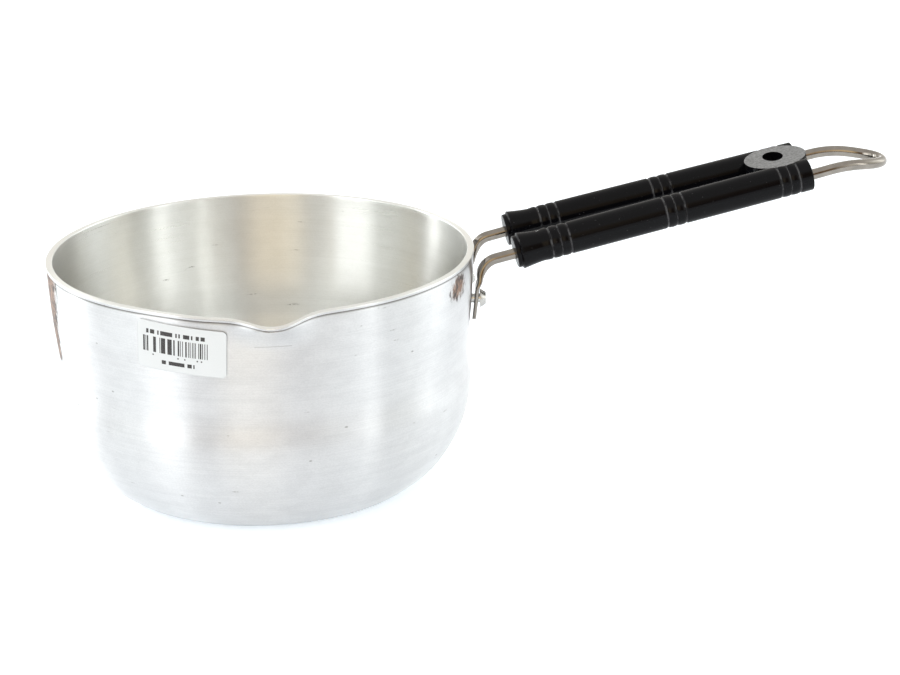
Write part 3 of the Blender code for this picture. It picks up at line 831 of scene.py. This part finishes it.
class Look(Nodes):
    """A material under construction."""

    def __init__(self, name):
        self.material = bpy.data.materials.new(name)
        self.material.use_nodes = True
        super().__init__(self.material.node_tree)

    def place(self):
        """Coordinates in metres, fixed to the object."""
        return self.node("ShaderNodeTexCoord").outputs["Object"]

    def stretched(self, x, y, z):
        """The coordinates times a scale along each axis."""
        return self.node("ShaderNodeMapping", Vector=self.place(), Scale=(x, y, z)).outputs[0]

    def noise(self, vector, scale, detail=3.0, roughness=0.5):
        """The grey output of a Noise texture."""
        return self.node("ShaderNodeTexNoise", Vector=vector, Scale=scale, Detail=detail,
                         Roughness=roughness).outputs[0]

    def attribute(self, name):
        """A number kept on the vertices."""
        return self.node("ShaderNodeAttribute", {"attribute_name": name}).outputs["Fac"]

    def bump(self, height, distance, strength=1.0, under=None):
        """The normal output of a Bump node, which may lie on another."""
        extra = {"Normal": under} if under else {}
        return self.node("ShaderNodeBump", Height=height, Distance=distance, Strength=strength,
                         **extra).outputs[0]

    def finish(self, **inputs):
        """Plugs values into the shader and returns the material."""
        shader = self.tree.nodes["Principled BSDF"]
        for key, value in inputs.items():
            self.plug(shader, key.replace("_", " "), value)
        return self.material


def aluminium_look():
    """Spun aluminium: turned lines round the wall and floor, a satin sheen and small nicks, with
    painted shade and painted reflections.
    """
    look = Look("spun_aluminium")
    split = look.node("ShaderNodeSeparateXYZ", Vector=look.place())
    travel = look.attribute("travel")
    groove_shade = look.attribute("groove_shade")

    def lines(per_metre, around):
        vector = look.node(
            "ShaderNodeCombineXYZ", X=look.math("MULTIPLY", split.outputs[0], around),
            Y=look.math("MULTIPLY", split.outputs[1], around),
            Z=look.math("MULTIPLY", travel, per_metre)).outputs[0]
        return look.noise(vector, 1.0, 4.0, 0.62)

    fine = lines(2600.0, 11.0)
    coarse = lines(420.0, 5.0)
    broad = look.noise(look.place(), 22.0, 3.0)
    mottle = look.noise(look.stretched(1.0, 1.0, 2.0), 90.0, 5.0, 0.6)
    nick_vector = look.node("ShaderNodeMapping", Vector=look.place(), Scale=(75.0, 75.0, 150.0),
                            Rotation=(0.4, 0.5, 0.3)).outputs[0]
    cells = look.node("ShaderNodeTexVoronoi", Vector=nick_vector, Scale=1.0)
    chance = look.node("ShaderNodeSeparateXYZ", Vector=cells.outputs["Color"]).outputs[0]
    nicks = look.math("MULTIPLY", look.remap(cells.outputs["Distance"], 0.035, 0.070, 1.0, 0.0),
                      look.math("LESS_THAN", chance, 0.55))
    nicks = look.math("MULTIPLY", nicks, look.math("SUBTRACT", 1.0, look.attribute("inside")))
    speckle = look.noise(look.stretched(1.0, 1.0, 1.6), 1300.0, 3.0, 0.6)
    scuff_vector = look.node("ShaderNodeMapping", Vector=look.place(), Scale=(60.0, 60.0, 420.0),
                             Rotation=(0.12, 0.1, 0.0)).outputs[0]
    scuffs = look.remap(look.noise(scuff_vector, 1.0, 3.0), 0.71, 0.77, 0.0, 1.0)
    scuffs = look.math("MULTIPLY", scuffs, look.remap(speckle, 0.42, 0.52, 0.0, 1.0))
    marks = look.math("MAXIMUM", nicks, scuffs)
    tone = look.math("ADD", look.math("MULTIPLY", coarse, 0.15), look.math("MULTIPLY", fine, 0.40))
    tone = look.math("ADD", tone, look.math("MULTIPLY", speckle, 0.45))
    tone = look.remap(tone, 0.35, 0.65, 0.0, 1.0)
    tone = look.math("ADD", look.math("MULTIPLY", tone, 0.7),
                     look.math("MULTIPLY", look.remap(mottle, 0.35, 0.65, 0.0, 1.0), 0.3))
    # Painted shade: the outer wall gets a darker, cooler aluminium colour than the inside, set to
    # offset how brightly it is lit.
    outside = look.mix(tone, (0.600, 0.602, 0.610), (0.720, 0.722, 0.730))
    inside = look.mix(tone, (0.780, 0.785, 0.765), (0.860, 0.865, 0.850))
    colour = look.mix(look.attribute("inside"), outside, inside)
    # Painted shade: a thin wavy dark line below the spout stands for the shade in a fine fold of
    # the wall.
    under_spout = look.math("MULTIPLY", look.between(split.outputs[0], *FOLD_SHADE_SPAN),
                            look.between(split.outputs[1], *FRONT))
    ripple = look.math("ADD", split.outputs[2], look.math("MULTIPLY", broad, 1.5 * MM))
    fold_shade = look.math("MULTIPLY", under_spout, look.between(ripple, *FOLD_SHADE_HEIGHT))
    colour = look.mix(look.math("MULTIPLY", fold_shade, 0.45), colour, (0.35, 0.34, 0.33))
    # Painted reflection: dark brown patches on the outer wall stand for dark things reflected in
    # it, the blot beside the near tab for the rod and tab; they are also made rougher and less
    # metallic.
    reflection_noise = look.noise(look.stretched(1.0, 1.0, 0.45), 420.0, 5.0, 0.75)
    edge = look.attribute("painted_reflection")
    painted_reflection = look.math("ADD", edge, look.math("MULTIPLY", reflection_noise, 2.2))
    reflection_colour = look.mix(look.remap(reflection_noise, 0.44, 0.58, 0.0, 1.0), (0.24, 0.135, 0.085),
                     (0.02, 0.012, 0.012))
    painted_reflection_share = look.remap(painted_reflection, 1.22, 1.62, 0.0, 0.95)
    painted_reflection_share = look.math("MULTIPLY", painted_reflection_share, look.remap(edge, 0.0, 0.28, 0.0, 1.0))
    colour = look.mix(painted_reflection_share, colour, reflection_colour)
    colour = look.mix(look.math("MULTIPLY", marks, 0.7), colour, (0.25, 0.24, 0.23))
    # Painted shade: the groove under the lip is darkened in the colour.
    colour = look.mix(look.math("MULTIPLY", groove_shade, 0.85), colour, (0.12, 0.11, 0.10))
    rough = look.math("ADD", look.math("MULTIPLY", fine, 0.10), look.math("MULTIPLY", broad, 0.08))
    rough = look.math("ADD", rough, look.remap(look.attribute("inside"), 0.0, 1.0, 0.27, 0.21))
    rough = look.math("ADD", rough, look.math("MULTIPLY", painted_reflection_share, 0.3))
    height = look.math("ADD", look.math("MULTIPLY", fine, 0.6), look.math("MULTIPLY", coarse, 0.06))
    height = look.math("ADD", height, look.math("MULTIPLY", speckle, 0.25))
    turned = look.bump(height, 0.04 * MM, 0.45)
    nicked = look.bump(look.math("SUBTRACT", 1.0, marks), 0.06 * MM, 0.6, turned)
    tangent = look.node("ShaderNodeTangent", {"direction_type": "RADIAL", "axis": "Z"}).outputs[0]
    metal = look.math("SUBTRACT", 1.0, painted_reflection_share)
    return look.finish(Base_Color=colour, Metallic=metal, Roughness=rough, Anisotropic=1.0,
                       Anisotropic_Rotation=0.25, Tangent=tangent, Normal=nicked)


def nickel_look():
    """Bright nickel plate over drawn wire: faint draw lines, warm tone and small pits."""
    look = Look("nickel_wire")
    travel = look.attribute("travel")
    patches = look.noise(look.place(), 160.0, 4.0, 0.6)
    pits = look.remap(look.noise(look.place(), 1500.0, 2.0), 0.68, 0.78, 0.0, 1.0)
    split = look.node("ShaderNodeSeparateXYZ", Vector=look.place())
    drawn_vector = look.node(
        "ShaderNodeCombineXYZ", X=look.math("MULTIPLY", split.outputs[1], 2400.0),
        Y=look.math("MULTIPLY", split.outputs[2], 2400.0),
        Z=look.math("MULTIPLY", travel, 40.0)).outputs[0]
    drawn = look.noise(drawn_vector, 1.0, 2.0)
    colour = look.mix(patches, (0.16, 0.145, 0.128), (0.35, 0.32, 0.285))
    colour = look.mix(look.math("MULTIPLY", pits, 0.5), colour, (0.22, 0.17, 0.12))
    rough = look.math("ADD", look.math("MULTIPLY", patches, 0.12), 0.07)
    normal = look.bump(drawn, 0.02 * MM, 0.5)
    normal = look.bump(look.math("SUBTRACT", 1.0, pits), 0.05 * MM, 0.5, normal)
    return look.finish(Base_Color=colour, Metallic=1.0, Roughness=rough, Normal=normal)


def bakelite_look():
    """Glossy black phenolic moulding: a fine grain, dust specks, handling haze and painted
    highlights in the ring grooves.
    """
    look = Look("black_phenolic")
    grain = look.noise(look.place(), 2600.0, 2.0)
    haze = look.noise(look.stretched(0.4, 1.0, 1.0), 240.0, 4.0, 0.6)
    specks = look.remap(look.noise(look.place(), 1300.0, 1.0), 0.74, 0.80, 0.0, 1.0)
    flow = look.noise(look.stretched(0.12, 1.0, 1.0), 900.0, 3.0)
    colour = look.mix(haze, (0.001, 0.001, 0.0015), (0.003, 0.003, 0.004))
    colour = look.mix(look.math("MULTIPLY", specks, 0.35), colour, (0.12, 0.12, 0.125))
    # Painted highlight: the bottoms of the ring grooves are lightened, broken up by the haze, to
    # stand for glints.
    groove_glint = look.math("MULTIPLY", look.attribute("groove"), look.remap(haze, 0.38, 0.56, 0.15, 1.0))
    colour = look.mix(groove_glint, colour, (0.065, 0.065, 0.07))
    rough = look.math("ADD", look.math("MULTIPLY", haze, 0.16), look.math("MULTIPLY", flow, 0.10))
    rough = look.math("ADD", rough, 0.11)
    normal = look.bump(grain, 0.02 * MM, 0.45)
    normal = look.bump(flow, 0.03 * MM, 0.35, normal)
    return look.finish(Base_Color=colour, Roughness=rough, IOR=1.06, Normal=normal,
                       Coat_Weight=0.22, Coat_Roughness=0.12, Coat_IOR=1.5)


def ground_look():
    """The ground top of the eye: matt grey filler with fine sanding scratches."""
    look = Look("ground_phenolic")
    sanding = look.noise(look.stretched(0.25, 1.0, 1.0), 2800.0, 3.0, 0.65)
    mottle = look.noise(look.place(), 800.0, 4.0, 0.6)
    tone = look.math("ADD", look.math("MULTIPLY", sanding, 0.5), look.math("MULTIPLY", mottle, 0.5))
    colour = look.mix(look.remap(tone, 0.36, 0.64, 0.0, 1.0), (0.085, 0.087, 0.090),
                      (0.235, 0.238, 0.242))
    normal = look.bump(tone, 0.05 * MM, 0.7)
    return look.finish(Base_Color=colour, Roughness=0.62, Normal=normal)


def rivet_look():
    """Formed aluminium: soft dents and a dull skin in patches."""
    look = Look("rivet_aluminium")
    dents = look.noise(look.place(), 420.0, 2.0)
    skin = look.noise(look.place(), 900.0, 4.0, 0.6)
    colour = look.mix(skin, (0.36, 0.35, 0.335), (0.62, 0.61, 0.59))
    rough = look.math("ADD", look.math("MULTIPLY", skin, 0.18), 0.16)
    normal = look.bump(dents, 0.25 * MM, 0.5)
    return look.finish(Base_Color=colour, Metallic=1.0, Roughness=rough, Normal=normal)


def label_look():
    """Coated paper with a thin cut edge and plain printed bars that spell nothing."""
    look = Look("coated_paper")
    flat = look.node("ShaderNodeUVMap", {"uv_map": "print"}).outputs[0]
    split = look.node("ShaderNodeSeparateXYZ", Vector=flat)
    u, v = split.outputs[0], split.outputs[1]

    def bars(count, seed, fill):
        """1 on a random share of equal columns."""
        column = look.math("ADD", look.math("FLOOR", look.math("MULTIPLY", u, count)), seed)
        value = look.node("ShaderNodeTexWhiteNoise", {"noise_dimensions": "1D"}, W=column)
        return look.math("LESS_THAN", value.outputs[0], fill)

    def row(left, right, bottom, top, count, seed, fill):
        """Bars inside a window, in fractions of the label's width and height."""
        window = look.math("MULTIPLY", look.between(u, left, right),
                           look.between(v, bottom, top))
        return look.math("MULTIPLY", window, bars(count, seed, fill))

    ink = row(0.11, 0.77, 0.735, 0.825, 58.0, 3.5, 0.74)
    for extra in (row(0.07, 0.80, 0.355, 0.680, 120.0, 11.5, 0.50),
                  row(0.03, 0.82, 0.285, 0.315, 66.0, 23.5, 0.22),
                  row(0.29, 0.66, 0.135, 0.215, 62.0, 31.5, 0.72)):
        ink = look.math("MAXIMUM", ink, extra)
    off_edge_u = look.math("MINIMUM", u, look.math("SUBTRACT", 1.0, u))
    off_edge_v = look.math("MINIMUM", v, look.math("SUBTRACT", 1.0, v))
    edge = look.math("MINIMUM", look.math("MULTIPLY", off_edge_u, LABEL_SIZE[0] / MM),
                     look.math("MULTIPLY", off_edge_v, LABEL_SIZE[1] / MM))
    cut = look.remap(edge, 0.05, 0.30, 1.0, 0.0)
    fibre = look.noise(look.place(), 1800.0, 4.0, 0.6)
    wear = look.noise(look.place(), 2600.0, 2.0)
    paper = look.mix(fibre, (0.60, 0.622, 0.64), (0.65, 0.672, 0.69))
    paper = look.mix(look.math("MULTIPLY", cut, 0.35), paper, (0.30, 0.31, 0.32))
    dark = look.mix(look.remap(wear, 0.45, 0.65, 0.0, 1.0), (0.02, 0.018, 0.018),
                    (0.06, 0.055, 0.055))
    colour = look.mix(ink, paper, dark)
    rough = look.math("ADD", look.math("MULTIPLY", fibre, 0.12), 0.42)
    return look.finish(Base_Color=colour, Roughness=rough, Normal=look.bump(fibre, 0.015 * MM, 0.4))


def floor_look():
    """Matt white studio paper."""
    look = Look("studio_paper")
    tone = look.noise(look.place(), 3.0, 2.0)
    colour = look.mix(tone, (0.82, 0.845, 0.885), (0.84, 0.865, 0.905))
    grain = look.bump(look.noise(look.place(), 900.0, 2.0), 0.01 * MM, 0.2)
    return look.finish(Base_Color=colour, Roughness=0.9, Emission_Color=(0.88, 0.96, 1.0),
                       Emission_Strength=FLOOR_GLOW, Normal=grain)


def card_look():
    """A plain glowing card."""
    look = Look("glowing_card")
    return look.finish(Base_Color=(0.0, 0.0, 0.0), Emission_Color=WHITE,
                       Emission_Strength=CARD_GLOW)


# ---------------------------------------------------------------- studio

def make_camera():
    """The camera, in front of the pouring lip and above the rim."""
    data = bpy.data.cameras.new("camera")
    data.lens = CAMERA_LENS
    data.sensor_width = CAMERA_SENSOR
    data.clip_start = 0.01
    camera = bpy.data.objects.new("camera", data)
    bpy.context.scene.collection.objects.link(camera)
    camera.location = CAMERA_PLACE
    camera.rotation_euler = [math.radians(turn) for turn in CAMERA_TURNS]
    bpy.context.scene.camera = camera


def stage_sheet(name, half, material):
    """A flat square sheet that isn't part of the object."""
    bm = bmesh.new()
    bmesh.ops.create_grid(bm, x_segments=1, y_segments=1, size=half)
    mesh = bpy.data.meshes.new(name)
    bm.to_mesh(mesh)
    bm.free()
    mesh.materials.append(material)
    sheet = as_object(name, mesh)
    return sheet


def make_floor():
    """A wide floor of white paper, just under the base."""
    floor = stage_sheet("floor", FLOOR_HALF, floor_look())
    floor.location.z = -FLOOR_DROP


def make_card():
    """A low glowing card in front, hidden from the camera, that evens out the outer wall."""
    card = stage_sheet("card", 0.5, card_look())
    card.scale = (*CARD_SIZE, 1.0)
    card.location = CARD_PLACE
    card.rotation_euler = (math.radians(90.0), 0.0, 0.0)
    card.visible_camera = False


def make_surroundings():
    """A white studio whose brightness changes round the pot, so that metal has bands to show."""
    world = bpy.data.worlds.new("studio")
    bpy.context.scene.world = world
    world.use_nodes = True
    sky = Nodes(world.node_tree)
    way = sky.node("ShaderNodeTexCoord").outputs["Generated"]
    x, y, z = sky.node("ShaderNodeSeparateXYZ", Vector=way).outputs
    turn = sky.math("DIVIDE", sky.math("ARCTAN2", y, x), 2 * math.pi)
    turn = sky.math("FRACT", sky.math("SUBTRACT", turn, STUDIO_SEAM / 360.0))

    def ramp(stops):
        """Colour by turn."""
        node = sky.node("ShaderNodeValToRGB", Fac=turn)
        elements = node.color_ramp.elements
        while len(elements) < len(stops):
            elements.new(0.5)
        for element, (position, colour) in zip(elements, stops):
            element.position = position
            element.color = (*colour, 1.0)
        return node.outputs[0]

    colour = sky.mix(sky.remap(z, *HORIZON_EDGE, 0.0, 1.0), ramp(HORIZON), ramp(STUDIO))
    colour = sky.mix(sky.remap(z, *CEILING_EDGE, 0.0, 1.0), colour, CEILING)
    seen = sky.node("ShaderNodeLightPath").outputs["Is Camera Ray"]
    sky.plug(sky.tree.nodes["Background"], "Color", sky.mix(seen, colour, WHITE))


def make_key_light():
    """A soft square light, high on the left, that faces the pot."""
    data = bpy.data.lights.new("key_left", "AREA")
    data.shape = "RECTANGLE"
    data.size = KEY_SIZE
    data.size_y = KEY_SIZE
    data.energy = KEY_POWER
    light = bpy.data.objects.new("key_left", data)
    bpy.context.scene.collection.objects.link(light)
    turn = math.radians(KEY_BEARING)
    lift = math.radians(KEY_ELEVATION)
    way = Vector((math.cos(turn) * math.cos(lift), math.sin(turn) * math.cos(lift),
                  math.sin(lift)))
    light.location = KEY_TARGET + KEY_DISTANCE * way
    light.rotation_euler = way.to_track_quat("Z", "Y").to_euler()
    light.visible_camera = False


def make_studio():
    """Camera, floor, card, surroundings and light."""
    make_camera()
    make_floor()
    make_card()
    make_surroundings()
    make_key_light()
    bpy.context.scene.view_settings.view_transform = "Standard"


# ---------------------------------------------------------------- all together

def place_piece(piece, node, slot, *looks):
    """Gives a piece its materials and lets it stand for a CAD node."""
    for look in looks:
        piece.data.materials.append(look)
    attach(piece, "root")
    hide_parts(node)


def main():
    """Builds the visual model round the frame."""
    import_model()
    make_studio()
    rivet = rivet_look()
    place_piece(make_pan(), "pot_body", "pan", aluminium_look())
    place_piece(make_rod(), "handle_wire", "rod", nickel_look())
    place_piece(make_grip(), "handle_grip", "grip", bakelite_look(), ground_look())
    place_piece(make_rivet("rivet_near_head", -1), "rivet_near", "rivet", rivet)
    place_piece(make_rivet("rivet_far_head", 1), "rivet_far", "rivet", rivet)
    place_piece(make_label(), "size_label", "label", label_look())


main()
